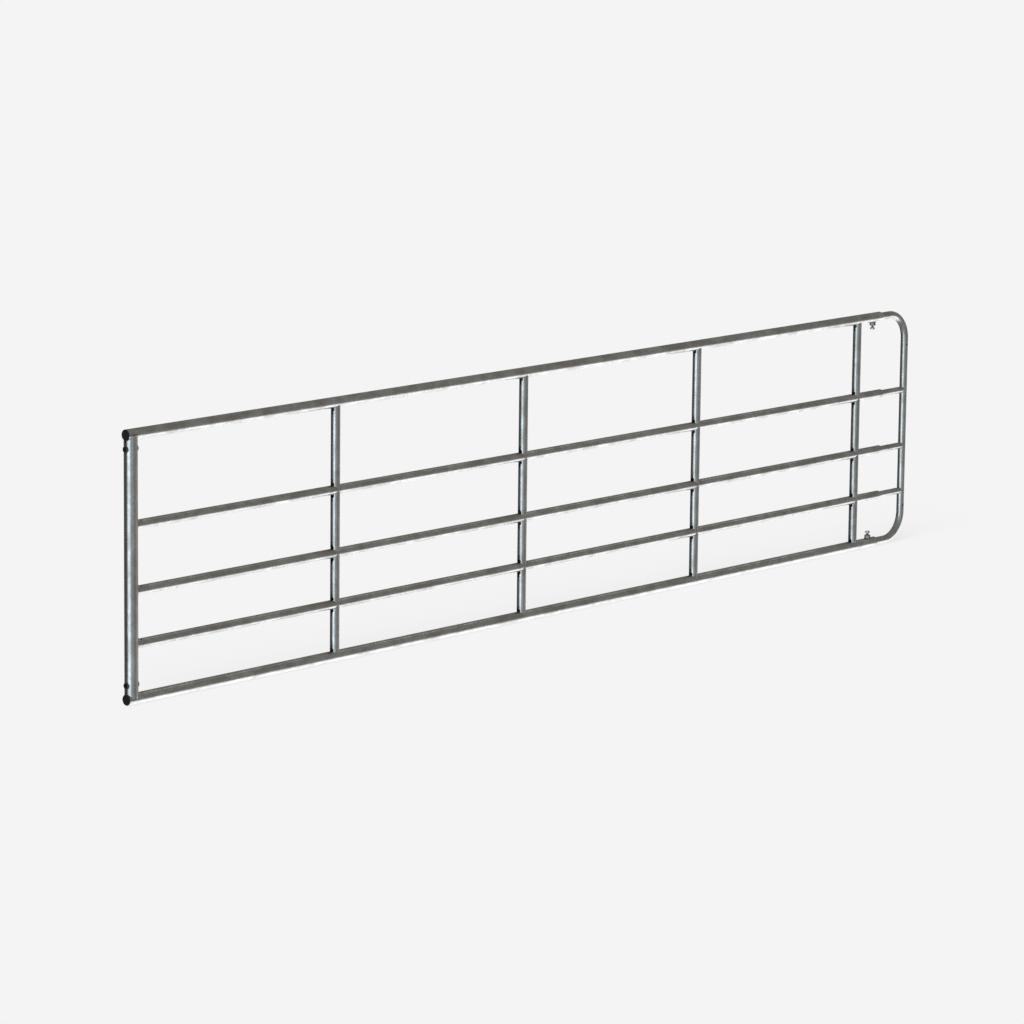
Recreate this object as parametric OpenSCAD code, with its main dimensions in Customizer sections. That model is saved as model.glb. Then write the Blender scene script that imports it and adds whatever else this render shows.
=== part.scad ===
// Telescopic tubular livestock gate, closed up to its short length.
//
// A welded frame of round tubes (hinge post, five rails, four stiles) carries a U-shaped end
// frame whose arms slide out of the rails. Two lock screws clamp the arms where they are put.
//
// X runs along the gate from the hinge post to the latch end, Y points away from the front
// face and Z is up. The origin is the centre of the lower hinge bush. Millimetres.

/* [Overall] */
// Height between the axes of the top and bottom rails
rail_span = 1055; // [870:1:1300]
// Length from the hinge post's axis to the open ends of the top and bottom rails
frame_len = 4747; // [3800:1:6000]
// How much further the middle rails reach than the top and bottom rails
mid_rail_extra = 19; // [0:1:40]
// Straight arm that shows between the rails' open ends and the bends, gate closed up
arm_show = 74; // [60:1:200]

/* [Rails] */
// Outside diameter of the top and bottom rails
outer_rail_d = 45; // [37.5:0.5:54]
// Wall of the top and bottom rails
outer_rail_wall = 2.5; // [2:0.1:3]
// Outside diameter of the three middle rails
mid_rail_d = 39; // [32.5:0.5:47]
// Wall of the middle rails
mid_rail_wall = 2; // [1.6:0.1:2.6]
// Height of the lower middle rail's axis above the bottom rail's
lower_rail_h = 217.5; // [150:0.5:260]
// Height of the centre rail's axis above the bottom rail's
centre_rail_h = 431; // [340:0.5:520]
// Height of the upper middle rail's axis above the bottom rail's
upper_rail_h = 694; // [600:0.5:780]
// Room all round between a rail's bore and the arm that slides in it
arm_room = 3; // [2:0.1:3.6]

/* [Hinge post] */
// Outside diameter of the hinge post
post_d = 55; // [45.5:0.5:66]
// Wall of the hinge post
post_wall = 3; // [2:0.1:4]
// Distance of each hinge bush from the nearest rail axis
bush_offset = 57; // [50:0.5:90]
// Outside diameter of a hinge bush
bush_d = 26; // [24:0.5:31.5]
// Bore of a hinge bush, which takes a hinge's threaded rod
bush_bore = 21; // [17:0.5:22]
// How far a hinge bush stands out of the hinge post at each end
bush_proud = 3.5; // [0:0.5:8]
// How far the top and bottom rails' plugged ends stop short of the post's outline
rail_end_inset = 0.5; // [0:0.5:5]

/* [Stiles] */
// Number of stiles
stile_count = 4; // [2:1:5]
// Outside diameter of the stiles
stile_d = 38.5; // [32:0.5:46.5]
// Wall of the stiles
stile_wall = 2; // [1.6:0.1:2.6]
// Distance from the last stile's axis back from the rails' open ends
last_stile_inset = 163; // [110:1:260]

/* [Vent holes] */
// Diameter of the wide part of a stile's vent, beside the rail
vent_d = 20; // [12:1:22]
// Distance of the wide part's centre from the rail's surface
vent_lift = 4; // [1:0.5:6]
// Width of the vent's narrow slot
vent_slot_w = 8; // [4:0.5:10]
// Reach of the slot's end from the rail's surface
vent_slot_reach = 28; // [20:1:34]
// Diameter of the round vents in the hinge post and the middle rails
round_vent_d = 8; // [5:0.5:10]
// Distance of a middle rail's vent from the hinge post's surface
rail_vent_gap = 17.5; // [8:0.5:40]
// Lean of a middle rail's vent from straight up towards the front
rail_vent_lean = 30; // [0:5:45]

/* [Sliding end frame] */
// Wall of the end tube
end_tube_wall = 2; // [1.6:0.1:2.6]
// Radius of the end tube's two bends, at its centre line
bend_r = 120; // [90:1:150]
// Wall of the three sliding cross tubes
cross_tube_wall = 2; // [1.6:0.1:2.6]
// How far the end frame pulls out
travel = 1000; // [400:10:1500]
// Length that each arm keeps inside its rail when it is pulled right out
grip_len = 450; // [300:10:700]
// Diameter of the latch holes through the end tube's leg
latch_hole_d = 10; // [8:0.5:14]
// Distance of each latch hole from the end of the nearest bend
latch_hole_gap = 29; // [10:1:100]

/* [Guides] */
// Length of the glide sleeve on each arm's inner end
sleeve_len = 60; // [40:1:100]
// Length of the guide ring inside each rail's open end
guide_len = 29; // [15:1:30]
// How deep a guide ring sits inside the open end
guide_recess = 1; // [0.5:0.5:4]

/* [Lock screws and plugs] */
// Distance of the lock screws from the open ends of the top and bottom rails
screw_inset = 50; // [48:1:90]
// Diameter of a lock screw's thread, as a plain cylinder
screw_d = 10.9; // [8:0.1:12]
// Width across flats of a lock screw's head
head_flats = 18; // [16:0.5:19]
// Thickness of a lock screw's head
head_h = 8; // [5:0.5:9]
// Length of thread that shows between a lock screw's head and its nut
screw_show = 10; // [9:0.5:20]
// Width across flats of a welded nut
nut_flats = 24; // [20:0.5:26]
// Height of a welded nut above the rail's surface
nut_h = 14; // [10:0.5:18]
// Thickness of an end plug's flange
plug_flange = 2.5; // [1.5:0.5:5]
// Length of an end plug inside the rail
plug_depth = 22; // [12:1:40]

/* [Hidden] */
$fn = 64;

// Clearances
weld_gap = 0.1;      // between tubes that are coped and welded to each other
slide_gap = 0.35;    // all round between a guide and what slides in it
screw_fit = 0.05;    // all round between a lock screw and its nut
screw_hole_gap = 1;  // all round between a lock screw and the hole in the rail
tip_gap = 0.4;       // between a lock screw's tip and the arm that it clamps
plug_step = 0.5;     // how far a plug's flange stays inside the rail's outline
vent_land = 1;       // metal left between a round vent and the rail
over = 1;            // how far a cut runs past the surface that it opens

// Rails, counted from the bottom
RAIL_NAMES = ["bottom", "lower", "centre", "upper", "top"];
RAIL_HEIGHTS = [0, lower_rail_h, centre_rail_h, upper_rail_h, rail_span];
BOTTOM = 0;
TOP = len(RAIL_NAMES) - 1;
MID_RAILS = [1 : TOP - 1];
ALL_RAILS = [BOTTOM : TOP];
STILE_ROWS = ["bottom", "lower", "upper", "top"];
STILES = [1 : stile_count];

function is_outer(i) = i == BOTTOM || i == TOP;
function rail_z(i) = RAIL_HEIGHTS[i] - bush_offset;
function rail_d(i) = is_outer(i) ? outer_rail_d : mid_rail_d;
function rail_wall(i) = is_outer(i) ? outer_rail_wall : mid_rail_wall;
function rail_bore(i) = rail_d(i) - 2 * rail_wall(i);
function mouth_x(i) = is_outer(i) ? frame_len : frame_len + mid_rail_extra;
function arm_d(i) = rail_bore(i) - 2 * arm_room;
function corners(flats) = flats / cos(30);

// Places along the gate
stile_pitch = (frame_len - last_stile_inset) / stile_count;
leg_x = frame_len + arm_show + bend_r;
arm_end_x = frame_len - travel - grip_len;
screw_x = frame_len - screw_inset;
upper_bush_z = rail_span - 2 * bush_offset;
rail_start_x = rail_end_inset - post_d / 2;

// Sliding tubes and hinge bushes
end_tube_d = arm_d(TOP);
bush_len = post_d + 2 * bush_proud;

// Lock screw, measured out from the rail's axis
screw_tip = end_tube_d / 2 + tip_gap;
nut_top = outer_rail_d / 2 + nut_h;
head_base = nut_top + screw_show;

// Colours
ZINC = [0.62, 0.63, 0.63];
PLATED = [0.72, 0.72, 0.70];
BLACK = [0.08, 0.08, 0.08];
NYLON = [0.85, 0.84, 0.80];

function stile_node(column, row) = str("stile_", column, "_", STILE_ROWS[row]);
function rail_node(i) = str(RAIL_NAMES[i], "_rail");
function cross_node(i) = str(RAIL_NAMES[i], "_cross_tube");
function sleeve_node(i) = str(RAIL_NAMES[i], "_glide_sleeve");
function guide_node(i) = str(RAIL_NAMES[i], "_mouth_guide");

// A solid round bar along X
module rod_x(d, x_from, x_to) {
    translate([x_from, 0, 0])
        rotate([0, 90, 0])
            cylinder(d = d, h = x_to - x_from);
}

// A round tube along X
module tube_x(d, wall, x_from, x_to) {
    difference() {
        rod_x(d, x_from, x_to);
        rod_x(d - 2 * wall, x_from - over, x_to + over);
    }
}

// The space that rail i fills, where other tubes are coped to it
module rail_cope(i, x_from, x_to) {
    translate([0, 0, rail_z(i)])
        rod_x(rail_d(i) + 2 * weld_gap, x_from, x_to);
}

// A round tube along Z on the Z axis, coped to the rails below and above it
module upright(d, wall, low, high) {
    difference() {
        translate([0, 0, rail_z(low)])
            cylinder(d = d, h = rail_z(high) - rail_z(low));
        translate([0, 0, rail_z(low) - over])
            cylinder(d = d - 2 * wall, h = rail_z(high) - rail_z(low) + 2 * over);
        for (i = [low, high])
            rail_cope(i, -d, d);
    }
}

// A keyhole vent through an upright's hinge side, reaching up from Z = 0
module keyhole_vent(d) {
    rotate([0, -90, 0]) {
        translate([vent_lift, 0, 0])
            cylinder(d = vent_d, h = d);
        translate([0, -vent_slot_w / 2, 0])
            cube([vent_slot_reach - vent_slot_w / 2, vent_slot_w, d]);
        translate([vent_slot_reach - vent_slot_w / 2, 0, 0])
            cylinder(d = vent_slot_w, h = d);
    }
}

// A hexagonal bar along Z, with two corners along X
module hex_bar(flats, height) {
    linear_extrude(height)
        circle(d = corners(flats), $fn = 6);
}

// Turns a shape drawn on a rail's axis so that its +Z points into the gate
module inward(i) {
    translate([0, 0, rail_z(i)])
        mirror([0, 0, i == TOP ? 1 : 0])
            children();
}

module hinge_post() {
    color(ZINC)
        difference() {
            upright(post_d, post_wall, BOTTOM, TOP);
            for (z = [0, upper_bush_z])
                translate([0, 0, z])
                    rod_x(bush_d + 2 * weld_gap, -post_d, post_d);
            for (i = [BOTTOM, TOP])
                inward(i)
                    translate([-post_d, 0, (outer_rail_d + round_vent_d) / 2 + vent_land])
                        rotate([0, 90, 0])
                            cylinder(d = round_vent_d, h = post_d);
        }
}

module hinge_bush(z) {
    color(ZINC)
        translate([0, 0, z])
            tube_x(bush_d, (bush_d - bush_bore) / 2, -bush_len / 2, bush_len / 2);
}

module outer_rail(i) {
    color(ZINC)
        difference() {
            translate([0, 0, rail_z(i)])
                tube_x(outer_rail_d, outer_rail_wall, rail_start_x, mouth_x(i));
            inward(i)
                translate([screw_x, 0, 0])
                    cylinder(d = screw_d + 2 * screw_hole_gap, h = outer_rail_d);
        }
}

module mid_rail(i) {
    color(ZINC)
        difference() {
            translate([0, 0, rail_z(i)])
                tube_x(mid_rail_d, mid_rail_wall, 0, mouth_x(i));
            translate([0, 0, rail_z(i) - mid_rail_d])
                cylinder(d = post_d + 2 * weld_gap, h = 2 * mid_rail_d);
            translate([post_d / 2 + rail_vent_gap, 0, rail_z(i)])
                rotate([rail_vent_lean, 0, 0])
                    cylinder(d = round_vent_d, h = mid_rail_d);
        }
}

module stile_piece(column, row) {
    color(ZINC)
        translate([column * stile_pitch, 0, 0])
            difference() {
                upright(stile_d, stile_wall, row, row + 1);
                translate([0, 0, rail_z(row) + rail_d(row) / 2])
                    keyhole_vent(stile_d);
                translate([0, 0, rail_z(row + 1) - rail_d(row + 1) / 2])
                    mirror([0, 0, 1])
                        keyhole_vent(stile_d);
            }
}

// The ring pressed into rail i's open end, which the arm slides through
module mouth_guide(i) {
    ring_d = rail_bore(i) - 2 * weld_gap;
    hole_d = arm_d(i) + 2 * slide_gap;
    ring_end = mouth_x(i) - guide_recess;
    color(NYLON)
        translate([0, 0, rail_z(i)])
            tube_x(ring_d, (ring_d - hole_d) / 2, ring_end - guide_len, ring_end);
}

// The sleeve pressed on arm i's inner end, which slides in the rail's bore
module glide_sleeve(i) {
    sleeve_d = rail_bore(i) - 2 * slide_gap;
    hole_d = arm_d(i) + 2 * weld_gap;
    color(NYLON)
        translate([0, 0, rail_z(i)])
            tube_x(sleeve_d, (sleeve_d - hole_d) / 2, arm_end_x, arm_end_x + sleeve_len);
}

// A push-in plug: a spigot in the rail's end and a flange with a rounded edge over it
module end_plug(i) {
    flange_r = outer_rail_d / 2 - plug_step;
    spigot_r = rail_bore(i) / 2 - weld_gap;
    color(BLACK)
        translate([rail_start_x, 0, rail_z(i)])
            rotate([0, 90, 0])
                rotate_extrude() {
                    square([spigot_r, plug_depth]);
                    translate([0, -plug_flange])
                        square([flange_r - plug_flange, plug_flange]);
                    intersection() {
                        translate([flange_r - plug_flange, 0])
                            circle(plug_flange);
                        translate([0, -plug_flange])
                            square([flange_r, plug_flange]);
                    }
                }
}

module lock_nut(i) {
    color(ZINC)
        difference() {
            inward(i)
                translate([screw_x, 0, 0])
                    difference() {
                        hex_bar(nut_flats, nut_top);
                        translate([0, 0, -over])
                            cylinder(d = screw_d + 2 * screw_fit, h = nut_top + 2 * over);
                    }
            rail_cope(i, screw_x - nut_flats, screw_x + nut_flats);
        }
}

module lock_screw(i) {
    color(PLATED)
        inward(i)
            translate([screw_x, 0, 0]) {
                translate([0, 0, screw_tip])
                    cylinder(d = screw_d, h = head_base - screw_tip);
                translate([0, 0, head_base])
                    hex_bar(head_flats, head_h);
            }
}

// The line of the U-shaped end tube as a bar of diameter d, its ends at x_from
module end_tube_line(d, x_from) {
    bend_x = leg_x - bend_r;
    low = rail_z(BOTTOM) + bend_r;
    high = rail_z(TOP) - bend_r;
    for (i = [BOTTOM, TOP])
        translate([0, 0, rail_z(i)])
            rod_x(d, x_from, bend_x);
    translate([leg_x, 0, low])
        cylinder(d = d, h = high - low);
    translate([bend_x, 0, low])
        rotate([90, 0, 0])
            rotate(-90)
                rotate_extrude(angle = 90)
                    translate([bend_r, 0])
                        circle(d = d);
    translate([bend_x, 0, high])
        rotate([90, 0, 0])
            rotate_extrude(angle = 90)
                translate([bend_r, 0])
                    circle(d = d);
}

module end_frame() {
    color(ZINC)
        difference() {
            end_tube_line(end_tube_d, arm_end_x);
            end_tube_line(end_tube_d - 2 * end_tube_wall, arm_end_x - over);
            for (i = [BOTTOM, TOP])
                inward(i)
                    translate([leg_x, end_tube_d, bend_r + latch_hole_gap])
                        rotate([90, 0, 0])
                            cylinder(d = latch_hole_d, h = 2 * end_tube_d);
        }
}

module cross_tube(i) {
    color(ZINC)
        difference() {
            translate([0, 0, rail_z(i)])
                tube_x(arm_d(i), cross_tube_wall, arm_end_x, leg_x);
            translate([leg_x, 0, rail_z(i) - arm_d(i)])
                cylinder(d = end_tube_d + 2 * weld_gap, h = 2 * arm_d(i));
        }
}

hinge_post();
hinge_bush(upper_bush_z);  // upper_hinge_bush
hinge_bush(0);  // lower_hinge_bush
for (i = [BOTTOM, TOP]) outer_rail(i);
for (i = MID_RAILS) mid_rail(i);
for (c = STILES, r = [0 : len(STILE_ROWS) - 1])
    stile_piece(c, r);
for (i = ALL_RAILS) mouth_guide(i);
end_plug(TOP);  // top_end_plug
end_plug(BOTTOM);  // bottom_end_plug
lock_nut(TOP);  // upper_lock_nut
lock_nut(BOTTOM);  // lower_lock_nut
lock_screw(TOP);  // upper_lock_screw
lock_screw(BOTTOM);  // lower_lock_screw
end_frame();
for (i = MID_RAILS) cross_tube(i);
for (i = ALL_RAILS) glide_sleeve(i);
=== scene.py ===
"""Finishes, weld beads, studio and camera for a telescopic tubular livestock gate.

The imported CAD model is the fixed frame. This script gives its tubes and fittings their
finishes, adds the weld beads at the tube joints, and sets up a plain pale studio with a
camera that stands where the photograph's did. Metres; X runs along the gate from the hinge
post, Y points away from the front face, Z is up.
"""

from __future__ import annotations

import logging
import math
from dataclasses import dataclass, field
from enum import Enum

import bmesh
import bpy
from mathutils import Matrix, Vector
from mathutils.bvhtree import BVHTree

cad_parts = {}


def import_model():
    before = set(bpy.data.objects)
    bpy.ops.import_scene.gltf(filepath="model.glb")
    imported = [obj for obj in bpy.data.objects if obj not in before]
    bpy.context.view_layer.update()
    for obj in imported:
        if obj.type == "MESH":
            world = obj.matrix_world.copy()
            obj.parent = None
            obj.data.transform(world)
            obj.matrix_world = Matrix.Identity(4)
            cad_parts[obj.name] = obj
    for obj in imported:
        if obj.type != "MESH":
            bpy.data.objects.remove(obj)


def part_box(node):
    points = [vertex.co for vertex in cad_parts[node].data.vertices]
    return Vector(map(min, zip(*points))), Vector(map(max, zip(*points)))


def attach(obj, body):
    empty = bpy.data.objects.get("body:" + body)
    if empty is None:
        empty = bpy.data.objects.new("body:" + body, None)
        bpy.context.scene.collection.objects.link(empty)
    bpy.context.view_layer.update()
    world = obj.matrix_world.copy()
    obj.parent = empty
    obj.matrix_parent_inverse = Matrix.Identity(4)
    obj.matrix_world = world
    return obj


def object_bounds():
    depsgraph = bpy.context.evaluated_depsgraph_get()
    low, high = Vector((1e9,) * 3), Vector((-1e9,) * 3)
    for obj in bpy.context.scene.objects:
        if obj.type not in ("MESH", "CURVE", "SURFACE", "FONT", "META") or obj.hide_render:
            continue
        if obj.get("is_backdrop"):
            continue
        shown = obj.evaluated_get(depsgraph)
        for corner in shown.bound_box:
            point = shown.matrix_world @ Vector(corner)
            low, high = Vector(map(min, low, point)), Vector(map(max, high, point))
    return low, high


LOG = logging.getLogger("gate")
MM = 0.001
PHOTO_SIDE = 1024.0

Colour = tuple[float, float, float]
Span = tuple[float, float]


class Axis(Enum):
    """The way a tube runs."""

    ALONG = (1.0, 0.0, 0.0)
    UP = (0.0, 0.0, 1.0)


class Outline(Enum):
    """The outline of the piece that a bead runs round."""

    ROUND = "round"
    HEX = "six-sided, two corners along X"


class Landing(Enum):
    """The way the piece that a bead runs round leaves what it is welded to."""

    UPWARDS = Matrix.Identity(4)
    DOWNWARDS = Matrix.Rotation(math.pi, 4, "X")
    FORWARDS = Matrix.Rotation(math.pi / 2, 4, "Y")
    BACKWARDS = Matrix.Rotation(-math.pi / 2, 4, "Y")


# ---------------------------------------------------------------- shader node groups


def add_node(tree: bpy.types.NodeTree, kind: str, **settings: object) -> bpy.types.Node:
    """Adds a node to a tree.

    Args:
        tree: The tree.
        kind: The node's type name.
        **settings: Attributes to set, or socket values when the name is a socket's.

    Returns:
        The node.
    """
    node = tree.nodes.new(kind)
    for name, value in settings.items():
        if hasattr(node, name):
            setattr(node, name, value)
        else:
            node.inputs[name.replace("_", " ")].default_value = value
    return node


def open_group(name: str, inputs: dict[str, float], outputs: tuple[str, ...]) -> bpy.types.NodeTree:
    """Starts a shader node group with number sockets and a vector input named Place.

    Args:
        name: The group's name.
        inputs: Each number input and its usual value.
        outputs: The number outputs.

    Returns:
        The group's tree, with its input and output nodes named In and Out.
    """
    tree = bpy.data.node_groups.new(name, "ShaderNodeTree")
    tree.interface.new_socket("Place", in_out="INPUT", socket_type="NodeSocketVector")
    for label, value in inputs.items():
        socket = tree.interface.new_socket(label, in_out="INPUT", socket_type="NodeSocketFloat")
        socket.default_value = value
    for label in outputs:
        tree.interface.new_socket(label, in_out="OUTPUT", socket_type="NodeSocketFloat")
    tree.nodes.new("NodeGroupInput").name = "In"
    tree.nodes.new("NodeGroupOutput").name = "Out"
    return tree


def spangle_group() -> bpy.types.NodeTree:
    """Builds the zinc crystals that a hot dip leaves: flat patches, each with its own tone.

    Returns:
        The group. Its outputs are Tone and Height, both from 0 to 1.
    """
    tree = open_group("Zinc spangle", {"Crystals": 90.0, "Ragged": 0.004}, ("Tone", "Height"))
    source, result, link = tree.nodes["In"], tree.nodes["Out"], tree.links.new
    rag = add_node(tree, "ShaderNodeTexNoise", Scale=220.0, Detail=3.0)
    centred = add_node(tree, "ShaderNodeVectorMath", operation="SUBTRACT")
    centred.inputs[1].default_value = (0.5, 0.5, 0.5)
    amount = add_node(tree, "ShaderNodeVectorMath", operation="SCALE")
    moved = add_node(tree, "ShaderNodeVectorMath", operation="ADD")
    cells = add_node(tree, "ShaderNodeTexVoronoi", feature="F1")
    split = add_node(tree, "ShaderNodeSeparateColor")
    link(source.outputs["Place"], rag.inputs["Vector"])
    link(rag.outputs["Color"], centred.inputs[0])
    link(centred.outputs["Vector"], amount.inputs[0])
    link(source.outputs["Ragged"], amount.inputs["Scale"])
    link(source.outputs["Place"], moved.inputs[0])
    link(amount.outputs["Vector"], moved.inputs[1])
    link(moved.outputs["Vector"], cells.inputs["Vector"])
    link(source.outputs["Crystals"], cells.inputs["Scale"])
    link(cells.outputs["Color"], split.inputs["Color"])
    link(split.outputs["Red"], result.inputs["Tone"])
    link(split.outputs["Green"], result.inputs["Height"])
    return tree


def patina_group() -> bpy.types.NodeTree:
    """Builds the cloudy patches and the long drawn streaks of a weathered zinc coat.

    Returns:
        The group. Its outputs are Cloud and Streak, both from 0 to 1.
    """
    tree = open_group("Zinc patina", {"Clouds": 9.0, "Streaks": 60.0}, ("Cloud", "Streak"))
    source, result, link = tree.nodes["In"], tree.nodes["Out"], tree.links.new
    cloud = add_node(tree, "ShaderNodeTexNoise", Detail=5.0, Roughness=0.6, Distortion=0.4)
    sharper = add_node(tree, "ShaderNodeMapRange", interpolation_type="SMOOTHSTEP")
    sharper.inputs["From Min"].default_value = 0.32
    sharper.inputs["From Max"].default_value = 0.68
    streak = add_node(tree, "ShaderNodeTexNoise", Detail=2.0)
    link(source.outputs["Place"], cloud.inputs["Vector"])
    link(source.outputs["Clouds"], cloud.inputs["Scale"])
    link(cloud.outputs["Fac"], sharper.inputs["Value"])
    link(sharper.outputs["Result"], result.inputs["Cloud"])
    link(source.outputs["Place"], streak.inputs["Vector"])
    link(source.outputs["Streaks"], streak.inputs["Scale"])
    link(streak.outputs["Fac"], result.inputs["Streak"])
    return tree


def scuff_group() -> bpy.types.NodeTree:
    """Builds the fine marks of handling: a mask of short scratches and a fine grain.

    Returns:
        The group. Its outputs are Scuff and Grain, both from 0 to 1.
    """
    tree = open_group("Handling scuffs", {"Size": 60.0, "Grain Size": 1500.0}, ("Scuff", "Grain"))
    source, result, link = tree.nodes["In"], tree.nodes["Out"], tree.links.new
    scuff = add_node(tree, "ShaderNodeTexNoise", Detail=6.0, Roughness=0.75, Distortion=1.5)
    sharper = add_node(tree, "ShaderNodeMapRange")
    sharper.inputs["From Min"].default_value = 0.5
    sharper.inputs["From Max"].default_value = 0.72
    grain = add_node(tree, "ShaderNodeTexNoise", Detail=1.0)
    link(source.outputs["Place"], scuff.inputs["Vector"])
    link(source.outputs["Size"], scuff.inputs["Scale"])
    link(scuff.outputs["Fac"], sharper.inputs["Value"])
    link(sharper.outputs["Result"], result.inputs["Scuff"])
    link(source.outputs["Place"], grain.inputs["Vector"])
    link(source.outputs["Grain Size"], grain.inputs["Scale"])
    link(grain.outputs["Fac"], result.inputs["Grain"])
    return tree


class Effects:
    """The node groups that more than one finish uses, each built once."""

    def __init__(self) -> None:
        """Builds the groups."""
        self.spangle = spangle_group()
        self.patina = patina_group()
        self.scuff = scuff_group()


class Graph:
    """A node tree being wired, with the steps that the materials and the backdrop share."""

    def __init__(self, tree: bpy.types.NodeTree) -> None:
        """Takes the tree."""
        self.tree = tree

    def link(self, source: bpy.types.NodeSocket, target: bpy.types.NodeSocket) -> None:
        """Joins two sockets."""
        self.tree.links.new(source, target)

    def maths(
        self,
        operation: str,
        first: bpy.types.NodeSocket,
        second: bpy.types.NodeSocket | float,
    ) -> bpy.types.NodeSocket:
        """Returns first (operation) second."""
        node = add_node(self.tree, "ShaderNodeMath", operation=operation)
        self.link(first, node.inputs[0])
        if isinstance(second, float):
            node.inputs[1].default_value = second
        else:
            self.link(second, node.inputs[1])
        return node.outputs["Value"]

    def blend(
        self,
        share: bpy.types.NodeSocket,
        first: Colour | bpy.types.NodeSocket,
        second: Colour | bpy.types.NodeSocket,
    ) -> bpy.types.NodeSocket:
        """Returns first blended with second by share.

        Args:
            share: The share of second, from 0 to 1.
            first: A colour, or a socket that gives one.
            second: A colour, or a socket that gives one.

        Returns:
            The blended colour's socket.
        """
        node = add_node(self.tree, "ShaderNodeMix", data_type="RGBA")
        self.link(share, node.inputs["Factor"])
        for value, socket in ((first, node.inputs[6]), (second, node.inputs[7])):
            if isinstance(value, tuple):
                socket.default_value = (*value, 1.0)
            else:
                self.link(value, socket)
        return node.outputs[2]

    def fade(self, value: bpy.types.NodeSocket, start: float, end: float) -> bpy.types.NodeSocket:
        """Returns a smooth 0 to 1 as the value goes from start to end."""
        node = add_node(self.tree, "ShaderNodeMapRange", interpolation_type="SMOOTHSTEP")
        node.inputs["From Min"].default_value = start
        node.inputs["From Max"].default_value = end
        self.link(value, node.inputs["Value"])
        return node.outputs["Result"]

    def along(self, direction: bpy.types.NodeSocket, way: Colour) -> bpy.types.NodeSocket:
        """Returns how far a direction goes along a way, from -1 to 1."""
        node = add_node(self.tree, "ShaderNodeVectorMath", operation="DOT_PRODUCT")
        node.inputs[1].default_value = way
        self.link(direction, node.inputs[0])
        return node.outputs["Value"]


class Recipe(Graph):
    """A material being made: its tree, its shader and the steps that finishes share."""

    def __init__(self, name: str) -> None:
        """Starts the material with its shader and its object coordinates.

        Args:
            name: The material's name.
        """
        self.material = bpy.data.materials.new(name)
        self.material.use_nodes = True
        super().__init__(self.material.node_tree)
        self.shader = self.tree.nodes["Principled BSDF"]
        self.place = add_node(self.tree, "ShaderNodeTexCoord").outputs["Object"]

    def stretched(self, scale: Colour) -> bpy.types.NodeSocket:
        """Returns the object coordinates multiplied by a scale for each axis."""
        mapping = add_node(self.tree, "ShaderNodeMapping")
        mapping.inputs["Scale"].default_value = scale
        self.link(self.place, mapping.inputs["Vector"])
        return mapping.outputs["Vector"]

    def effect(
        self, group: bpy.types.NodeTree, place: bpy.types.NodeSocket, **values: float
    ) -> bpy.types.Node:
        """Places a shared effect.

        Args:
            group: The effect's node group.
            place: The coordinates that it reads.
            **values: Its inputs, with underscores for spaces.

        Returns:
            The group node.
        """
        node = self.tree.nodes.new("ShaderNodeGroup")
        node.node_tree = group
        self.link(place, node.inputs["Place"])
        for name, value in values.items():
            node.inputs[name.replace("_", " ")].default_value = value
        return node

    def ranged(
        self, source: bpy.types.NodeSocket, low: float, high: float
    ) -> bpy.types.NodeSocket:
        """Returns a 0 to 1 value spread from low to high."""
        node = add_node(self.tree, "ShaderNodeMapRange", clamp=True)
        node.inputs["To Min"].default_value = low
        node.inputs["To Max"].default_value = high
        self.link(source, node.inputs["Value"])
        return node.outputs["Result"]

    def bump(self, height: bpy.types.NodeSocket, strength: float, depth: float) -> None:
        """Raises the surface by a 0 to 1 height.

        Args:
            height: The height's socket.
            strength: The bump's strength.
            depth: The depth that a height of 1 stands for, in metres.
        """
        node = add_node(self.tree, "ShaderNodeBump", Strength=strength, Distance=depth)
        self.link(height, node.inputs["Height"])
        self.link(node.outputs["Normal"], self.shader.inputs["Normal"])


# ---------------------------------------------------------------- finishes


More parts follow.
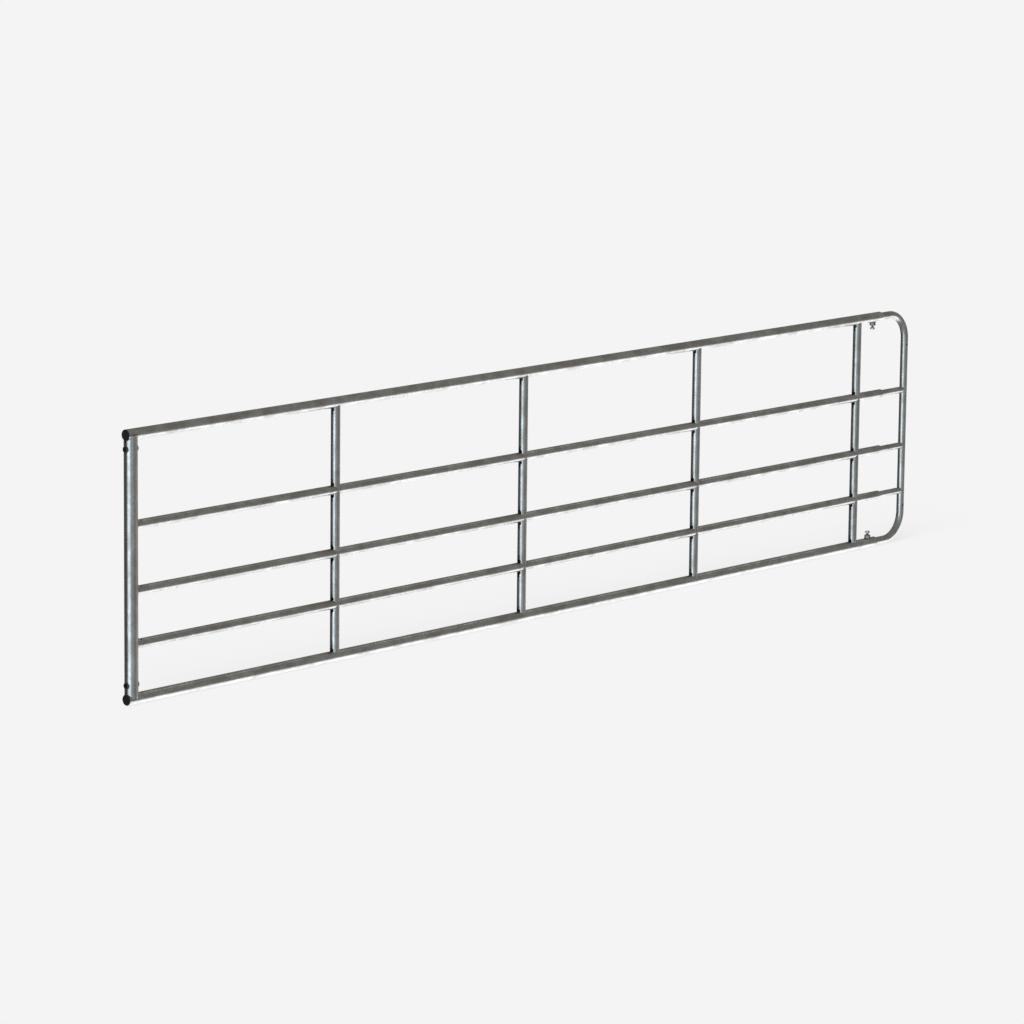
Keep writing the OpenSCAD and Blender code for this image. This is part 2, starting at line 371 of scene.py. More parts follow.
@dataclass(frozen=True)
class HotDipZinc:
    """A hot-dip galvanised coat with fine spangle, cloudy patches and drawn streaks.

    The stretches are along the tube, and the shares say how strongly each mark shows.
    """

    name: str
    run: Axis
    bright: Colour = (0.93, 0.93, 0.915)
    dull: Colour = (0.62, 0.592, 0.56)
    dark: Colour = (0.56, 0.55, 0.53)
    crystals: float = 110.0
    clouds: float = 22.0
    smooth: float = 0.24
    rough: float = 0.34
    streak_stretch: float = 0.06
    patch_stretch: float = 0.6
    streaks: float = 420.0
    crystal_share: float = 0.26
    streak_share: float = 0.16
    bump_strength: float = 0.22
    bump_depth: float = 0.08 * MM

    def make(self, effects: Effects) -> bpy.types.Material:
        """Builds the material.

        Args:
            effects: The shared node groups.

        Returns:
            The material.
        """
        recipe = Recipe(self.name)
        drawn = tuple(self.streak_stretch if part else 1.0 for part in self.run.value)
        long_patches = tuple(self.patch_stretch if part else 1.0 for part in self.run.value)
        spangle = recipe.effect(effects.spangle, recipe.place, Crystals=self.crystals)
        patches = recipe.effect(effects.patina, recipe.stretched(long_patches), Clouds=self.clouds)
        streaks = recipe.effect(effects.patina, recipe.stretched(drawn), Streaks=self.streaks)
        tone = recipe.ranged(spangle.outputs["Tone"], 0.0, self.crystal_share)
        cloudy = recipe.blend(patches.outputs["Cloud"], self.bright, self.dull)
        crystal = recipe.blend(tone, cloudy, self.dark)
        streak = recipe.ranged(streaks.outputs["Streak"], 0.0, self.streak_share)
        recipe.link(recipe.blend(streak, crystal, self.dark), recipe.shader.inputs["Base Color"])
        worn = recipe.maths(
            "ADD",
            recipe.maths("MULTIPLY", patches.outputs["Cloud"], 0.6),
            recipe.maths("MULTIPLY", spangle.outputs["Height"], 0.4),
        )
        recipe.link(recipe.ranged(worn, self.smooth, self.rough), recipe.shader.inputs["Roughness"])
        grain = recipe.effect(effects.scuff, recipe.place, Size=90.0, Grain_Size=520.0)
        height = recipe.maths(
            "ADD",
            recipe.maths("MULTIPLY", streaks.outputs["Streak"], 0.6),
            recipe.maths("MULTIPLY", grain.outputs["Grain"], 0.4),
        )
        recipe.bump(height, self.bump_strength, self.bump_depth)
        recipe.shader.inputs["Metallic"].default_value = 1.0
        return recipe.material


@dataclass(frozen=True)
class ZincedWeld:
    """A weld bead under the zinc: duller than the tube, with a lumpy skin."""

    name: str
    light: Colour = (0.66, 0.65, 0.63)
    dark: Colour = (0.44, 0.43, 0.41)

    def make(self, effects: Effects) -> bpy.types.Material:
        """Builds the material.

        Args:
            effects: The shared node groups.

        Returns:
            The material.
        """
        recipe = Recipe(self.name)
        scuffs = recipe.effect(effects.scuff, recipe.place, Size=240.0, Grain_Size=900.0)
        patches = recipe.effect(effects.patina, recipe.place, Clouds=120.0)
        tone = recipe.blend(patches.outputs["Cloud"], self.light, self.dark)
        mark = recipe.ranged(scuffs.outputs["Scuff"], 0.0, 0.4)
        recipe.link(recipe.blend(mark, tone, self.dark), recipe.shader.inputs["Base Color"])
        recipe.link(
            recipe.ranged(patches.outputs["Cloud"], 0.38, 0.52), recipe.shader.inputs["Roughness"]
        )
        recipe.bump(scuffs.outputs["Grain"], 0.5, 0.3 * MM)
        recipe.shader.inputs["Metallic"].default_value = 1.0
        return recipe.material


@dataclass(frozen=True)
class PlatedScrew:
    """Bright zinc plate on a rolled thread, whose ridges run round an upright screw."""

    name: str = "plated_screw"
    bright: Colour = (0.50, 0.50, 0.49)
    worn: Colour = (0.36, 0.355, 0.345)
    pitch: float = 1.5 * MM
    core: float = 5.6 * MM

    def make(self, effects: Effects, axis_x: float) -> bpy.types.Material:
        """Builds the material.

        Args:
            effects: The shared node groups.
            axis_x: How far along the gate the screws' axis is.

        Returns:
            The material.
        """
        recipe = Recipe(self.name)
        scuffs = recipe.effect(effects.scuff, recipe.place, Size=300.0, Grain_Size=1800.0)
        wear = recipe.ranged(scuffs.outputs["Scuff"], 0.0, 0.7)
        recipe.link(recipe.blend(wear, self.bright, self.worn), recipe.shader.inputs["Base Color"])
        recipe.link(recipe.ranged(wear, 0.25, 0.42), recipe.shader.inputs["Roughness"])
        split = add_node(recipe.tree, "ShaderNodeSeparateXYZ")
        recipe.link(recipe.place, split.inputs["Vector"])
        across = recipe.maths("SUBTRACT", split.outputs["X"], axis_x)
        squares = recipe.maths(
            "ADD",
            recipe.maths("MULTIPLY", across, across),
            recipe.maths("MULTIPLY", split.outputs["Y"], split.outputs["Y"]),
        )
        on_thread = recipe.maths("LESS_THAN", squares, self.core**2)
        ridge = recipe.maths("PINGPONG", split.outputs["Z"], self.pitch / 2)
        thread = recipe.maths("MULTIPLY", recipe.maths("DIVIDE", ridge, self.pitch / 2), on_thread)
        grain = recipe.maths("MULTIPLY", scuffs.outputs["Grain"], 0.08)
        recipe.bump(recipe.maths("ADD", thread, grain), 1.0, 0.7 * MM)
        recipe.shader.inputs["Metallic"].default_value = 1.0
        return recipe.material


@dataclass(frozen=True)
class MouldedPlastic:
    """A moulded plastic with a fine grain and paler scuffs."""

    name: str
    colour: Colour
    scuffed: Colour
    smooth: float
    rough: float

    def make(self, effects: Effects) -> bpy.types.Material:
        """Builds the material.

        Args:
            effects: The shared node groups.

        Returns:
            The material.
        """
        recipe = Recipe(self.name)
        scuffs = recipe.effect(effects.scuff, recipe.place, Size=110.0, Grain_Size=1600.0)
        mark = recipe.ranged(scuffs.outputs["Scuff"], 0.0, 0.8)
        tone = recipe.blend(mark, self.colour, self.scuffed)
        recipe.link(tone, recipe.shader.inputs["Base Color"])
        recipe.link(
            recipe.ranged(scuffs.outputs["Scuff"], self.smooth, self.rough),
            recipe.shader.inputs["Roughness"],
        )
        recipe.bump(scuffs.outputs["Grain"], 0.4, 0.12 * MM)
        return recipe.material


class Finishes:
    """Every finish on the gate, made once."""

    def __init__(self, screw_x: float) -> None:
        """Makes the materials.

        Args:
            screw_x: How far along the gate the lock screws stand.
        """
        effects = Effects()
        self.rail = HotDipZinc("galvanised_rail", Axis.ALONG).make(effects)
        self.upright = HotDipZinc("galvanised_upright", Axis.UP).make(effects)
        self.fitting = HotDipZinc(
            "galvanised_fitting",
            Axis.ALONG,
            bright=(0.42, 0.42, 0.41),
            dull=(0.33, 0.325, 0.315),
            dark=(0.22, 0.215, 0.21),
            crystals=160.0,
            smooth=0.34,
            rough=0.48,
        ).make(effects)
        self.weld = ZincedWeld("zinced_weld").make(effects)
        # Painted shade: a near-black bead, far darker than zinc over a weld, stands in for the shade
        # in the seams where the post meets the top and bottom rails, round the hinge bushes and round
        # the lock nuts' feet.
        self.painted_shade_weld = ZincedWeld(
            "painted_shade_weld", light=(0.12, 0.118, 0.115), dark=(0.05, 0.049, 0.047)
        ).make(effects)
        self.bush = HotDipZinc(
            "dark_bush",
            Axis.ALONG,
            bright=(0.42, 0.43, 0.43),
            dull=(0.34, 0.34, 0.335),
            dark=(0.22, 0.22, 0.215),
            crystals=200.0,
            smooth=0.38,
            rough=0.52,
        ).make(effects)
        self.screw = PlatedScrew().make(effects, screw_x)
        self.plug = MouldedPlastic(
            "black_plug", (0.010, 0.010, 0.010), (0.022, 0.022, 0.021), 0.42, 0.58
        ).make(effects)
        self.guide = MouldedPlastic(
            "nylon_guide", (0.66, 0.64, 0.58), (0.52, 0.50, 0.45), 0.45, 0.6
        ).make(effects)


# ---------------------------------------------------------------- modelling


def clear_selection() -> None:
    """Deselects every object."""
    bpy.ops.object.select_all(action="DESELECT")


def dress(node: str, finish: bpy.types.Material) -> None:
    """Gives a CAD node its finish.

    Args:
        node: The node's name.
        finish: The material for all its slots.
    """
    part = bpy.data.objects[node]
    if not part.material_slots:
        part.data.materials.append(finish)
    for slot in part.material_slots:
        slot.material = finish


@dataclass(frozen=True)
class Tube:
    """A straight tube of the CAD model: its radius, its middle line and its ends."""

    radius: float
    axis: Axis
    centre: Vector
    start: float
    end: float

    @classmethod
    def of(cls, node: str, axis: Axis) -> "Tube":
        """Measures a CAD node.

        Args:
            node: The node's name.
            axis: The way it runs.

        Returns:
            The tube.
        """
        low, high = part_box(node)
        along = 0 if axis is Axis.ALONG else 2
        return cls((high.y - low.y) / 2, axis, (low + high) / 2, low[along], high[along])


@dataclass(frozen=True)
class WeldBead:
    """A rippled bead round a piece, where it lands on a round tube that runs along X.

    The bead is modelled round the Z axis, above the tube's axis, and then turned into place.
    """

    reach: float
    run_radius: float
    thickness: float
    outline: Outline = Outline.ROUND
    gap: float = 0.0
    rings: int = 56
    sides: int = 10
    ripple: float = 0.10

    def ring_centre(self, ring: int) -> Vector:
        """Returns where the bead's middle line passes at a ring."""
        turn = 2 * math.pi * ring / self.rings
        reach = self.reach
        if self.outline is Outline.HEX:
            reach /= math.cos(turn % (math.pi / 3) - math.pi / 6)
        side = reach * math.sin(turn)
        height = math.sqrt(max(0.0, self.run_radius**2 - side**2))
        return Vector((reach * math.cos(turn), side, height))

    def is_open(self, place: Vector) -> bool:
        """Says whether a place is in the gap that the bead leaves for a vent."""
        return place.x < 0 and abs(place.y) < self.gap

    def model(self, name: str) -> bpy.types.Object:
        """Shapes a torus into the bead.

        Args:
            name: The object's name.

        Returns:
            The bead, at the origin.
        """
        clear_selection()
        bpy.ops.mesh.primitive_torus_add(
            major_radius=self.reach,
            minor_radius=self.thickness,
            major_segments=self.rings,
            minor_segments=self.sides,
        )
        bead = bpy.context.object
        bead.name = bead.data.name = name
        bpy.ops.object.mode_set(mode="EDIT")
        bpy.ops.mesh.select_mode(type="VERT")
        mesh = bmesh.from_edit_mesh(bead.data)
        for ring in range(self.rings):
            turn = 2 * math.pi * ring / self.rings
            flat = Vector((self.reach * math.cos(turn), self.reach * math.sin(turn), 0.0))
            centre = self.ring_centre(ring)
            self.select_ring(mesh, bead, ring)
            swell = 1 + self.ripple * math.sin(ring * math.pi) + self.ripple * math.cos(ring * 2.1)
            bpy.ops.transform.resize(value=(swell, swell, swell), center_override=flat)
            bpy.ops.transform.translate(value=centre - flat)
        if self.gap:
            self.open_gap(mesh, bead)
        bpy.ops.mesh.select_all(action="SELECT")
        bpy.ops.mesh.normals_make_consistent(inside=False)
        bpy.ops.object.mode_set(mode="OBJECT")
        bpy.ops.object.shade_smooth_by_angle(angle=math.radians(60))
        return bead

    def select_ring(self, mesh: bmesh.types.BMesh, bead: bpy.types.Object, ring: int) -> None:
        """Selects only the vertices of one ring of the torus.

        Args:
            mesh: The bead's edit mesh.
            bead: The bead.
            ring: The ring's number.
        """
        mesh.verts.ensure_lookup_table()
        first = ring * self.sides
        for vertex in mesh.verts:
            vertex.select_set(first <= vertex.index < first + self.sides)
        mesh.select_flush_mode()
        bmesh.update_edit_mesh(bead.data)

    def open_gap(self, mesh: bmesh.types.BMesh, bead: bpy.types.Object) -> None:
        """Cuts the gap for a vent and closes the bead's two ends with tapered tips.

        Args:
            mesh: The bead's edit mesh.
            bead: The bead.
        """
        shut = [r for r in range(self.rings) if not self.is_open(self.ring_centre(r))]
        ends = [
            r for r in shut if (r + 1) % self.rings not in shut or (r - 1) % self.rings not in shut
        ]
        for ring in ends:
            self.select_ring(mesh, bead, ring)
            bpy.ops.transform.resize(value=(0.5, 0.5, 0.5), center_override=self.ring_centre(ring))
        for vertex in mesh.verts:
            vertex.select_set(vertex.index // self.sides not in shut)
        mesh.select_flush_mode()
        bmesh.update_edit_mesh(bead.data)
        bpy.ops.mesh.delete(type="VERT")
        bpy.ops.mesh.select_all(action="SELECT")
        bpy.ops.mesh.fill_holes(sides=0)


class BeadShop:
    """Models each kind of bead once and welds copies of it where they belong."""

    def __init__(self) -> None:
        """Starts with no models."""
        self.models: dict[WeldBead, bpy.types.Object] = {}
        self.made: dict[str, bpy.types.Object] = {}

    def weld(
        self,
        name: str,
        bead: WeldBead,
        landing: Landing,
        place: Vector,
        finish: bpy.types.Material,
        body: str = "gate_frame",
    ) -> None:
        """Puts a bead on the gate.

        Args:
            name: The piece's name.
            bead: Its kind.
            landing: The way that the piece in the bead leaves what it is welded to.
            place: Where its axis meets the axis of what it is welded to.
            finish: The bead's finish.
            body: The CAD body that the bead rides on.
        """
        if bead not in self.models:
            self.models[bead] = bead.model(f"pattern_{len(self.models)}")
        copy = self.models[bead].copy()
        copy.data = self.models[bead].data.copy()
        copy.name = copy.data.name = name
        bpy.context.scene.collection.objects.link(copy)
        copy.data.transform(Matrix.Translation(place) @ landing.value)
        copy.data.materials.clear()
        copy.data.materials.append(finish)
        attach(copy, body)
        self.made[name] = copy
        LOG.info("bead %s: %d faces", name, len(copy.data.polygons))

    def clear_patterns(self) -> None:
        """Removes the patterns that the beads were copied from."""
        for pattern in self.models.values():
            bpy.data.objects.remove(pattern)


# ---------------------------------------------------------------- the gate's sub-assemblies

RAILS = ("bottom", "lower", "centre", "upper", "top")
OUTER_RAILS = (RAILS[0], RAILS[-1])
MID_RAILS = RAILS[1:-1]
STILE_ROWS = ("bottom", "lower", "upper", "top")
STILE_COUNT = 4
SLIDING = "sliding_end"


@dataclass
class RailSet:
    """The five rails, with their plugs, mouth guides and lock nuts."""

    nut_bead: float = 1.2 * MM
    nut_flat_reach: float = 12.4 * MM
    rails: dict[str, Tube] = field(init=False)

    def __post_init__(self) -> None:
        """Measures the rails."""
        self.rails = {name: Tube.of(f"{name}_rail", Axis.ALONG) for name in RAILS}

    def line(self, name: str, x: float) -> Vector:
        """Returns the place on a rail's axis at a distance along the gate."""
        return Vector((x, 0.0, self.rails[name].centre.z))

    def finish(self, finishes: Finishes) -> None:
        """Dresses the CAD nodes."""
        for name in RAILS:
            dress(f"{name}_rail", finishes.rail)
            dress(f"{name}_mouth_guide", finishes.guide)
            LOG.info("rail %s: radius %.4f", name, self.rails[name].radius)
        for name in OUTER_RAILS:
            dress(f"{name}_end_plug", finishes.plug)
        for name in ("upper_lock_nut", "lower_lock_nut"):
            dress(name, finishes.fitting)

    def weld(self, shop: BeadShop, finishes: Finishes) -> None:
        """Runs a bead round each lock nut's foot."""
        for nut, rail, landing in (
            ("upper_lock_nut", "top", Landing.DOWNWARDS),
            ("lower_lock_nut", "bottom", Landing.UPWARDS),
        ):
            low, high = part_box(nut)
            bead = WeldBead(
                self.nut_flat_reach,
                self.rails[rail].radius,
                self.nut_bead,
                outline=Outline.HEX,
                rings=48,
            )
            place = self.line(rail, (low.x + high.x) / 2)
            # This bead is painted shade: near-black, for the shade in the seam at the nut's foot.
            shop.weld(f"{nut}_weld", bead, landing, place, finishes.painted_shade_weld)


@dataclass
class HingePost:
    """The hinge post and its two bushes, welded to the rails."""

    bead: float = 1.4 * MM
    vent_gap: float = 5.5 * MM
    bush_bead: float = 1.2 * MM
    post: Tube = field(init=False)

    def __post_init__(self) -> None:
        """Measures the post."""
        self.post = Tube.of("hinge_post", Axis.UP)

    def finish(self, finishes: Finishes) -> None:
        """Dresses the CAD nodes."""
        dress("hinge_post", finishes.upright)
        for name in ("upper_hinge_bush", "lower_hinge_bush"):
            dress(name, finishes.bush)
        LOG.info("hinge post: radius %.4f", self.post.radius)

    def weld(self, shop: BeadShop, finishes: Finishes, rails: RailSet) -> None:
        """Runs the beads where the rails and the bushes meet the post."""
        post_x = self.post.centre.x
        # The beads where the post meets the top and bottom rails are painted shade: near-black, for
        # the shade in those seams.
        for name, landing in (("bottom", Landing.UPWARDS), ("top", Landing.DOWNWARDS)):
            reach = self.post.radius - self.bead / 2
            bead = WeldBead(
                reach, rails.rails[name].radius, self.bead, gap=self.vent_gap, rings=72
            )
            place = rails.line(name, post_x)
            shop.weld(f"post_{name}_weld", bead, landing, place, finishes.painted_shade_weld)
        for name in MID_RAILS:
            bead = WeldBead(rails.rails[name].radius, self.post.radius, self.bead)
            place = rails.line(name, post_x)
            shop.weld(f"post_{name}_weld", bead, Landing.FORWARDS, place, finishes.weld)
        for bush in ("upper", "lower"):
            tube = Tube.of(f"{bush}_hinge_bush", Axis.ALONG)
            bead = WeldBead(tube.radius, self.post.radius, self.bush_bead, rings=48)
            # The bush beads are painted shade too: near-black, for the shade in their seams.
            for side, landing in (("inner", Landing.FORWARDS), ("outer", Landing.BACKWARDS)):
                name = f"{bush}_bush_{side}_weld"
                shop.weld(name, bead, landing, tube.centre, finishes.painted_shade_weld)


@dataclass
class StileGrid:
    """The stiles, whose vents leave a gap in the bead at each rail."""

    bead: float = 1.3 * MM
    vent_gap: float = 10.5 * MM

    def finish(self, finishes: Finishes) -> None:
        """Dresses the CAD nodes."""
        for column in range(1, STILE_COUNT + 1):
            for row in STILE_ROWS:
                dress(f"stile_{column}_{row}", finishes.upright)

    def weld(self, shop: BeadShop, finishes: Finishes, rails: RailSet) -> None:
        """Runs a bead at both ends of every stile piece."""
        for column in range(1, STILE_COUNT + 1):
            for number, row in enumerate(STILE_ROWS):
                stile = Tube.of(f"stile_{column}_{row}", Axis.UP)
                for end, name, landing in (
                    ("foot", RAILS[number], Landing.UPWARDS),
                    ("head", RAILS[number + 1], Landing.DOWNWARDS),
                ):
                    bead = WeldBead(
                        stile.radius, rails.rails[name].radius, self.bead, gap=self.vent_gap
                    )
                    place = rails.line(name, stile.centre.x)
                    weld = f"stile_{column}_{row}_{end}_weld"
                    shop.weld(weld, bead, landing, place, finishes.weld)


@dataclass
class SlidingEnd:
    """The bent end frame with its cross tubes and glide sleeves."""

    bead: float = 1.3 * MM

    def finish(self, finishes: Finishes) -> None:
        """Dresses the CAD nodes."""
        dress("end_frame", finishes.upright)
        for name in MID_RAILS:
            dress(f"{name}_cross_tube", finishes.rail)
        for name in RAILS:
            dress(f"{name}_glide_sleeve", finishes.guide)

    def weld(self, shop: BeadShop, finishes: Finishes) -> None:
        """Runs the beads where the cross tubes meet the end frame's leg."""
        radius = Tube.of("end_frame", Axis.UP).radius
        leg_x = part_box("end_frame")[1].x - radius
        for name in MID_RAILS:
            tube = Tube.of(f"{name}_cross_tube", Axis.ALONG)
            bead = WeldBead(tube.radius, radius, self.bead)
            place = Vector((leg_x, 0.0, tube.centre.z))
            weld = f"{name}_cross_tube_weld"
            shop.weld(weld, bead, Landing.BACKWARDS, place, finishes.weld, SLIDING)


@dataclass
class LockScrews:
    """The two lock screws under and over the sliding arms."""

    names: tuple[str, str] = ("upper_lock_screw", "lower_lock_screw")

    @property
    def axis_x(self) -> float:
        """How far along the gate the screws stand."""
        low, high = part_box(self.names[0])
        return (low.x + high.x) / 2

    def finish(self, finishes: Finishes) -> None:
        """Dresses the CAD nodes."""
        for name in self.names:
            dress(name, finishes.screw)


# ---------------------------------------------------------------- studio and camera


@dataclass(frozen=True)
class Lamp:
    """A soft lamp so far away that it lights the whole gate alike."""

    name: str
    azimuth: float
    elevation: float
    strength: float
    spread: float
    colour: Colour
    mirrored: bool = True
    distance: float = 20.0

    def add(self) -> None:
        """Puts the lamp in the scene, aimed at the gate.

        Azimuth is turned from +X towards +Y; both angles are in degrees and say where the
        light comes from. A lamp that isn't mirrored lights the gate without showing in it.
        """
        turn, rise = math.radians(self.azimuth), math.radians(self.elevation)
        source = Vector(
            (math.cos(turn) * math.cos(rise), math.sin(turn) * math.cos(rise), math.sin(rise))
        )
        lamp = bpy.data.lights.new(self.name, "SUN")
        lamp.energy = self.strength
        lamp.angle = math.radians(self.spread)
        lamp.color = self.colour
        holder = bpy.data.objects.new(self.name, lamp)
        holder.rotation_mode = "QUATERNION"
        holder.rotation_quaternion = source.to_track_quat("Z", "Y")
        holder.location = source * self.distance
        holder.visible_glossy = self.mirrored
        bpy.context.scene.collection.objects.link(holder)
        LOG.info("lamp %s: strength %.2f", self.name, self.strength)


@dataclass(frozen=True)
class Studio:
    """A plain pale floor and backdrop with soft lamps.

    A way is a direction that a patch of the backdrop lies in. A fade gives where a patch
    starts and where it is full, as a share of its way or of the height.
    """

    pale: float = 0.905
    wall: Colour = (0.180, 0.175, 0.166)
    back_patch: Colour = (0.060, 0.064, 0.068)
    back_way: tuple[float, float, float] = (-0.51, 0.86, 0.0)
    back_fade: Span = (0.25, 0.75)
    back_height_fade: Span = (0.25, 0.02)
    grey_floor: Colour = (0.20, 0.195, 0.19)
    grey_height_fade: Span = (-0.40, -0.60)
    bright_floor: Colour = (1.36, 1.40, 1.44)
    bright_way: tuple[float, float, float] = (0.72, 0.0, -0.694)
    bright_fade: Span = (0.76, 0.88)
    bright_height_fade: Span = (-0.18, -0.34)
    floor_colour: float = 1.0
    shadow_share: float = 0.13
    floor_reach: float = 12.0
    floor_fade: Span = (0.95, 0.4)
    lamps: tuple[Lamp, ...] = (
        Lamp("key_lamp", 205.0, 55.0, 2.7, 30.0, (1.0, 1.0, 1.0), mirrored=False),
        Lamp("hinge_side_lamp", 194.0, -12.0, 0.55, 50.0, (0.84, 0.93, 1.0)),
        Lamp("camera_side_lamp", 224.0, -6.0, 0.31, 92.0, (0.48, 0.80, 1.0)),
    )

    def build(self) -> None:
        """Sets the view transform and makes the floor, the backdrop and the lamps."""
        bpy.context.scene.view_settings.view_transform = "Standard"
        self.make_floor()
        self.make_backdrop()
        for lamp in self.lamps:
            lamp.add()

    def make_floor(self) -> None:
        """Lays the floor under the gate's lowest edge, for the camera alone.

        The backdrop's own white floor lights the gate and shows in its metal.
        """
        low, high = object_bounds()
        clear_selection()
        bpy.ops.mesh.primitive_plane_add(size=2 * self.floor_reach)
        floor = bpy.context.object
        floor.name = "floor"
        middle = (low.x + high.x) / 2
        bpy.ops.object.mode_set(mode="EDIT")
        bpy.ops.transform.translate(value=(middle, 0.0, low.z - 0.5 * MM))
        bpy.ops.object.mode_set(mode="OBJECT")
        floor.data.materials.append(self.floor_material(middle))
        for ray in ("diffuse", "glossy", "transmission", "shadow"):
            setattr(floor, f"visible_{ray}", False)
        floor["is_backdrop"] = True
        LOG.info("floor: %.1f m across", 2 * self.floor_reach)

    def floor_material(self, middle: float) -> bpy.types.Material:
        """Makes the floor's pale finish, whose shadows fade out towards its edges.

        Args:
            middle: The floor's middle along the gate.

        Returns:
            The material.
        """
        recipe = Recipe("pale_floor")
        tree = recipe.tree
        tree.nodes.remove(recipe.shader)
        centred = add_node(tree, "ShaderNodeVectorMath", operation="SUBTRACT")
        centred.inputs[1].default_value = (middle, 0.0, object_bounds()[0].z)
        recipe.link(recipe.place, centred.inputs[0])
        off = add_node(tree, "ShaderNodeVectorMath", operation="LENGTH")
        recipe.link(centred.outputs["Vector"], off.inputs[0])
        outer, inner = (self.floor_reach * share for share in self.floor_fade)
        inside = recipe.fade(off.outputs["Value"], outer, inner)
        lit = add_node(tree, "ShaderNodeBsdfDiffuse")
        lit.inputs["Color"].default_value = (self.floor_colour,) * 3 + (1.0,)
        glow = add_node(tree, "ShaderNodeEmission", Strength=self.pale)
        seen = add_node(tree, "ShaderNodeMixShader")
        share = recipe.maths("MULTIPLY", inside, self.shadow_share)
        recipe.link(share, seen.inputs[0])
        recipe.link(glow.outputs[0], seen.inputs[1])
        recipe.link(lit.outputs[0], seen.inputs[2])
        recipe.link(seen.outputs[0], tree.nodes["Material Output"].inputs["Surface"])
        return recipe.material

    def make_backdrop(self) -> None:
        """Makes the world: pale to the camera, and a grey room to everything else.

        The photograph's metal shows a grey room with a dark patch behind the hinge side and
        a white patch on the floor towards the latch side.
        """
        world = bpy.data.worlds.new("studio")
        bpy.context.scene.world = world
        world.use_nodes = True
        graph = Graph(world.node_tree)
        direction = add_node(graph.tree, "ShaderNodeTexCoord").outputs["Generated"]
        height = graph.along(direction, (0.0, 0.0, 1.0))
        behind = graph.maths(
            "MULTIPLY",
            graph.fade(graph.along(direction, self.back_way), *self.back_fade),
            graph.fade(height, *self.back_height_fade),
        )
        below = graph.maths(
            "MULTIPLY",
            graph.fade(graph.along(direction, self.bright_way), *self.bright_fade),
            graph.fade(height, *self.bright_height_fade),
        )
        walls = graph.blend(behind, self.wall, self.back_patch)
        low = graph.fade(height, *self.grey_height_fade)
        room = graph.blend(low, walls, self.grey_floor)
        lit_room = graph.blend(below, room, self.bright_floor)
        camera = add_node(graph.tree, "ShaderNodeLightPath").outputs["Is Camera Ray"]
        seen = graph.blend(camera, lit_room, (self.pale,) * 3)
        graph.link(seen, graph.tree.nodes["Background"].inputs["Color"])


@dataclass(frozen=True)
class PhotoCamera:
    """The camera that the photograph's straight lines give. Angles are in degrees."""

    lens: float = 169.73
    sensor: float = 36.0
    nearest: float = 0.1
    farthest: float = 500.0
    place: tuple[float, float, float] = (-12.7974, -13.4937, 4.0994)
    turn: float = 48.0716
    tilt: float = 10.3678
    roll: float = 0.6418

    @property
    def matrix(self) -> Matrix:
        """The camera's place and turn."""
        turn, tilt, roll = (math.radians(a) for a in (self.turn, self.tilt, self.roll))
        ahead = Vector(
            (math.sin(turn) * math.cos(tilt), math.cos(turn) * math.cos(tilt), -math.sin(tilt))
        )
        level = Vector((math.cos(turn), -math.sin(turn), 0.0))
        over = level.cross(ahead)
        right = math.cos(roll) * level + math.sin(roll) * over
        up = -math.sin(roll) * level + math.cos(roll) * over
        axes = Matrix((right, up, -ahead)).transposed().to_4x4()
        return Matrix.Translation(Vector(self.place)) @ axes

    def add(self) -> None:
        """Makes the camera and sets it as the scene's."""
        data = bpy.data.cameras.new("photo_camera")
        data.lens, data.sensor_width, data.sensor_fit = self.lens, self.sensor, "AUTO"
        data.clip_start, data.clip_end = self.nearest, self.farthest
        camera = bpy.data.objects.new("photo_camera", data)
        camera.matrix_world = self.matrix
        bpy.context.scene.collection.objects.link(camera)
        bpy.context.scene.camera = camera

    def ray(self, x: float, y: float) -> Vector:
        """Returns the direction that an image point looks along, in the gate's frame."""
        local = Vector((x - PHOTO_SIDE / 2, PHOTO_SIDE / 2 - y, -PHOTO_SIDE * self.lens / self.sensor))
        return (self.matrix.to_3x3() @ local).normalized()

    def project(self, place: Vector) -> tuple[float, float]:
        """Returns the image point where a place shows."""
        local = self.matrix.inverted() @ place
        scale = PHOTO_SIDE * self.lens / self.sensor / -local.z
        return PHOTO_SIDE / 2 + local.x * scale, PHOTO_SIDE / 2 - local.y * scale


SIGHT_SLACK = 1.5 * MM

# Points in the photograph's frame. A piece's point is the middle of what shows of it. The
# photograph is too small to show a weld bead, so a joint's point stands for the joint. The
# joints and the upper lock screw were measured by matching patches of the photograph with a
# render, so they are offsets from the model and not independent of it.
EDGE_POINTS = {"left_x": 121.8, "right_x": 907.9, "top_y": 311.4, "bottom_y": 706.0}
PIECE_POINTS = {
    "top_end_plug": (125.6, 434.6),
    "bottom_end_plug": (126.8, 700.4),
    "upper_lock_screw": (872.1, 328.4),
    "lower_lock_screw": (868.0, 532.0),
}
JOINT_POINTS = {
    "stile_1_top_head_weld": (338.4, 406.4),
    "stile_2_lower_head_weld": (525.0, 519.9),
    "stile_4_bottom_foot_weld": (854.6, 542.6),
    "centre_cross_tube_weld": (900.8, 444.9),
}


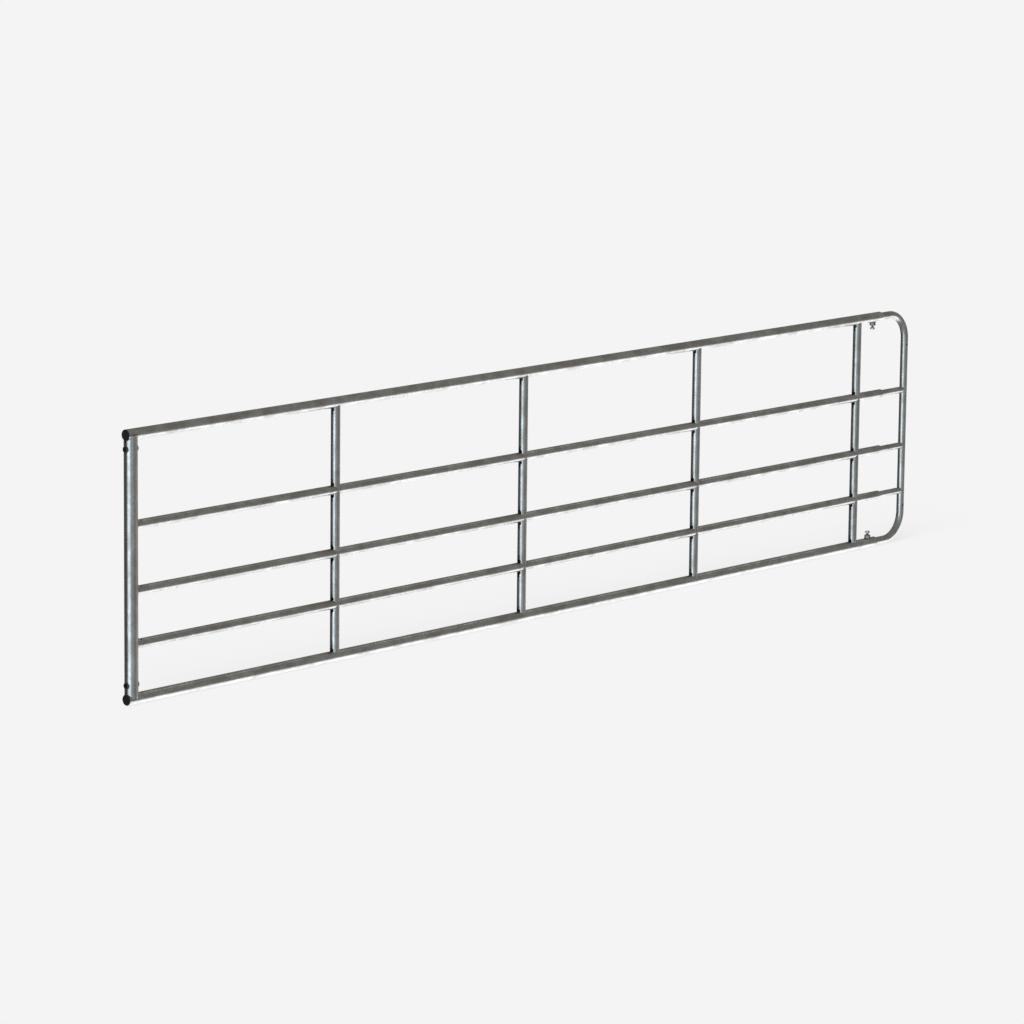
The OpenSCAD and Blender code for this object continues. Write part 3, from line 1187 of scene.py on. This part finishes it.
class PointCheck:
    """Measures how far each named image point is from where its piece shows."""

    def __init__(self, camera: PhotoCamera) -> None:
        """Gathers the finished gate.

        Args:
            camera: The photograph's camera.
        """
        self.camera = camera
        bpy.context.view_layer.update()
        meshes = [o for o in bpy.data.objects if o.type == "MESH" and not o.hide_render]
        places, faces = [], []
        for piece in (o for o in meshes if o.name != "floor"):
            start = len(places)
            places += [piece.matrix_world @ v.co for v in piece.data.vertices]
            faces += [[start + n for n in face.vertices] for face in piece.data.polygons]
        self.places = places
        self.tree = BVHTree.FromPolygons(places, faces)

    def hit(self, x: float, y: float) -> Vector:
        """Returns where the ray of an image point meets the gate, or the place nearest it."""
        origin, direction = Vector(self.camera.place), self.camera.ray(x, y)
        found = self.tree.ray_cast(origin, direction)[0]
        if found is None:
            return min(self.places, key=lambda p: (p - origin).cross(direction).length)
        return found

    def shows(self, place: Vector) -> bool:
        """Says whether a place is in the camera's view with nothing in front of it."""
        origin = Vector(self.camera.place)
        way = place - origin
        found = self.tree.ray_cast(origin, way.normalized())
        return found[0] is None or found[3] > way.length - SIGHT_SLACK

    def middle(self, name: str) -> tuple[float, float]:
        """Returns the middle of what shows of a piece, as an image point."""
        piece = bpy.data.objects[name]
        seen = [self.camera.project(v.co) for v in piece.data.vertices if self.shows(v.co)]
        across, down = [p[0] for p in seen], [p[1] for p in seen]
        return (min(across) + max(across)) / 2, (min(down) + max(down)) / 2

    def errors(self) -> dict[str, list[float]]:
        """Compares every named point with the finished gate.

        Returns:
            For each point, how far its thing shows from it in x and in y.
        """
        flat = [self.camera.project(place) for place in self.places]
        across, down = [p[0] for p in flat], [p[1] for p in flat]
        edges = {
            "left_x": min(across),
            "right_x": max(across),
            "top_y": min(down),
            "bottom_y": max(down),
        }
        found = {}
        for name, value in edges.items():
            off = round(value - EDGE_POINTS[name], 2)
            found[name] = [off, 0.0] if name.endswith("x") else [0.0, off]
        for name, point in {**PIECE_POINTS, **JOINT_POINTS}.items():
            shown = self.middle(name)
            found[name] = [round(shown[0] - point[0], 2), round(shown[1] - point[1], 2)]
        return found


def check_joints(check: PointCheck, shop: BeadShop) -> None:
    """Reports how near each joint's image point meets the bead that is welded there.

    Args:
        check: The gathered gate.
        shop: The beads.
    """
    for name, point in JOINT_POINTS.items():
        place = check.hit(*point)
        near = min((v.co - place).length for v in shop.made[name].data.vertices)
        LOG.info("joint %s: its point meets the gate %.1f mm from the bead", name, near / MM)


def main() -> None:
    """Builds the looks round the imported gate."""
    logging.basicConfig(level=logging.INFO, format="%(name)s: %(message)s")
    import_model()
    clear_selection()
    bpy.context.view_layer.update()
    camera = PhotoCamera()
    camera.add()
    screws = LockScrews()
    finishes = Finishes(screws.axis_x)
    shop = BeadShop()
    rails, post, stiles, sliding = RailSet(), HingePost(), StileGrid(), SlidingEnd()
    for assembly in (rails, post, stiles, sliding, screws):
        assembly.finish(finishes)
    rails.weld(shop, finishes)
    post.weld(shop, finishes, rails)
    stiles.weld(shop, finishes, rails)
    sliding.weld(shop, finishes)
    shop.clear_patterns()
    Studio().build()
    check = PointCheck(camera)
    check_joints(check, shop)
    check.errors()


if __name__ == "__main__":
    main()
